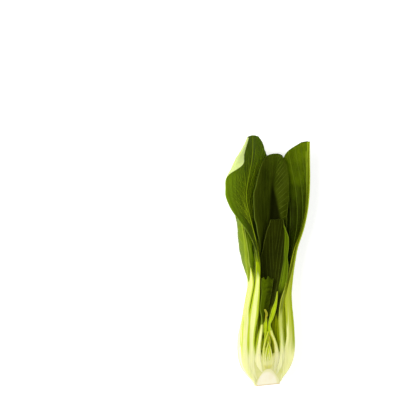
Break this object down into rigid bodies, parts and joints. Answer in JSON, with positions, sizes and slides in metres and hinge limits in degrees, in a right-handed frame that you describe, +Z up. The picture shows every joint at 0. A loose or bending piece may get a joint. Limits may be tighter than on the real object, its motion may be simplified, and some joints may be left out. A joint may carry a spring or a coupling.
{
  "type": "bok choy half",
  "caption": "Half head of bok choy cut lengthwise: pale spoon-shaped stalks wrapped round a core, opening into dark green blades, lying on its back.",
  "frame": {"origin": "on the surface the half lies on, in the middle of its length and width", "axes": "+Y along the head from the root end to the leaf tips, +Z up, out of the cut face"},
  "size_m": [0.0784, 0.1998, 0.031],
  "materials": {
    "stem": "moist cut stem tissue, satin",
    "heart": "tiny young leaves, satin",
    "leaf_left_outer": "pale juicy stalk and green blade, satin",
    "leaf_left": "pale juicy stalk and green blade, satin",
    "leaf_back": "pale juicy stalk and green blade, satin",
    "leaf_centre": "pale juicy stalk and green blade, satin",
    "leaf_right_outer": "pale juicy stalk and green blade, satin",
    "leaf_inner_trimmed": "pale juicy stalk and green blade, satin",
    "leaf_inner_left": "pale juicy stalk and green blade, satin",
    "leaf_inner_right": "pale juicy stalk and green blade, satin"
  },
  "bodies": {
    "root": {"stem": "stem", "heart": "heart", "leaf_left_outer": "leaf_left_outer", "leaf_left": "leaf_left", "leaf_back": "leaf_back", "leaf_centre": "leaf_centre", "leaf_right_outer": "leaf_right_outer", "leaf_inner_trimmed": "leaf_inner_trimmed", "leaf_inner_left": "leaf_inner_left", "leaf_inner_right": "leaf_inner_right"}
  },
  "joints": []
}
